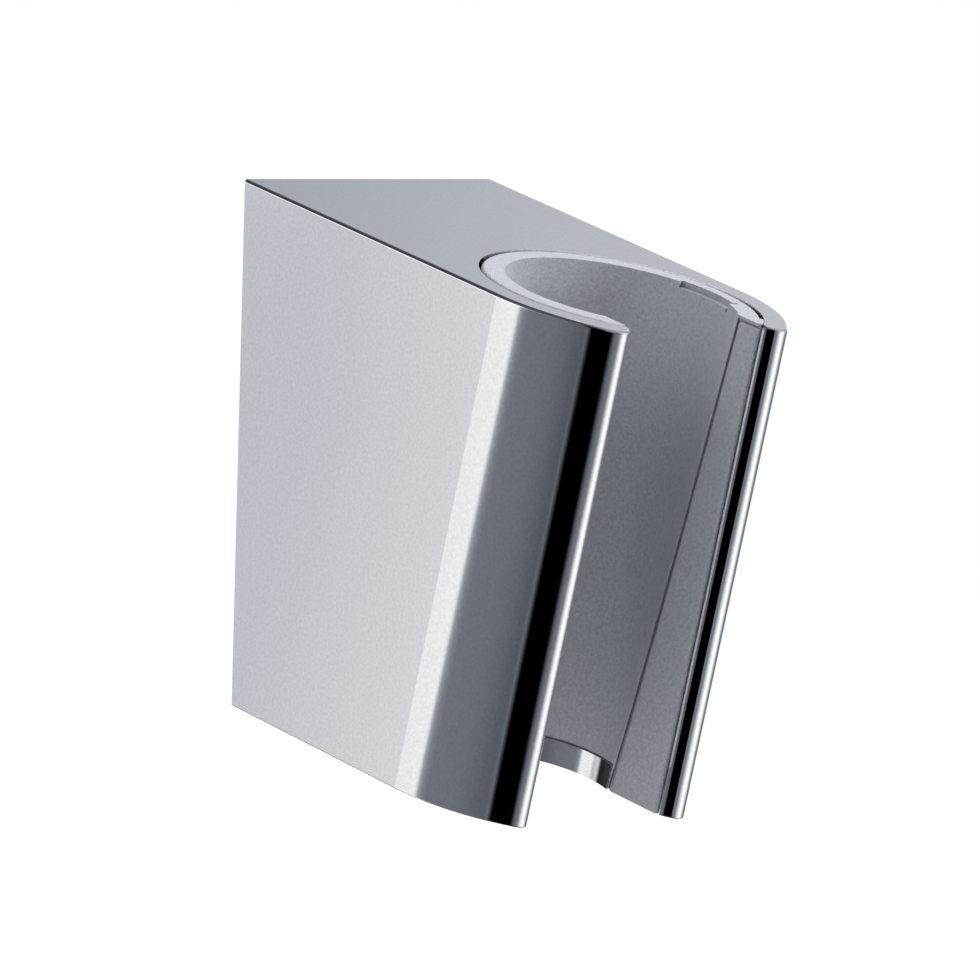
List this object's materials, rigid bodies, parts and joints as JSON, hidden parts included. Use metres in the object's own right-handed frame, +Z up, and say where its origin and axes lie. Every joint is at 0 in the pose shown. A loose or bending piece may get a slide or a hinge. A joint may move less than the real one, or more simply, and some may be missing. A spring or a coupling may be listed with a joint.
{
  "type": "hand shower holder",
  "caption": "Wall holder for a hand shower: chromed housing with flat sides and a round front, and a leaning conical socket lined in grey plastic and slotted for the hose.",
  "frame": {"origin": "middle of the flat back face that lies on the wall, between the two screw holes", "axes": "+Z up, +Y into the wall, +X to the right as seen when facing the wall; the socket leans towards -Y and its slot opens that way"},
  "size_m": [0.036, 0.053, 0.0668],
  "materials": {
    "chromed_zinc": "chrome plated zinc die casting, bright, with a slightly soft sheen on the flat sides",
    "grey_plastic": "silver grey moulded plastic, satin with a very fine grain"
  },
  "bodies": {
    "root": {"holder_body": "chromed_zinc", "cone_liner": "grey_plastic"}
  },
  "joints": []
}
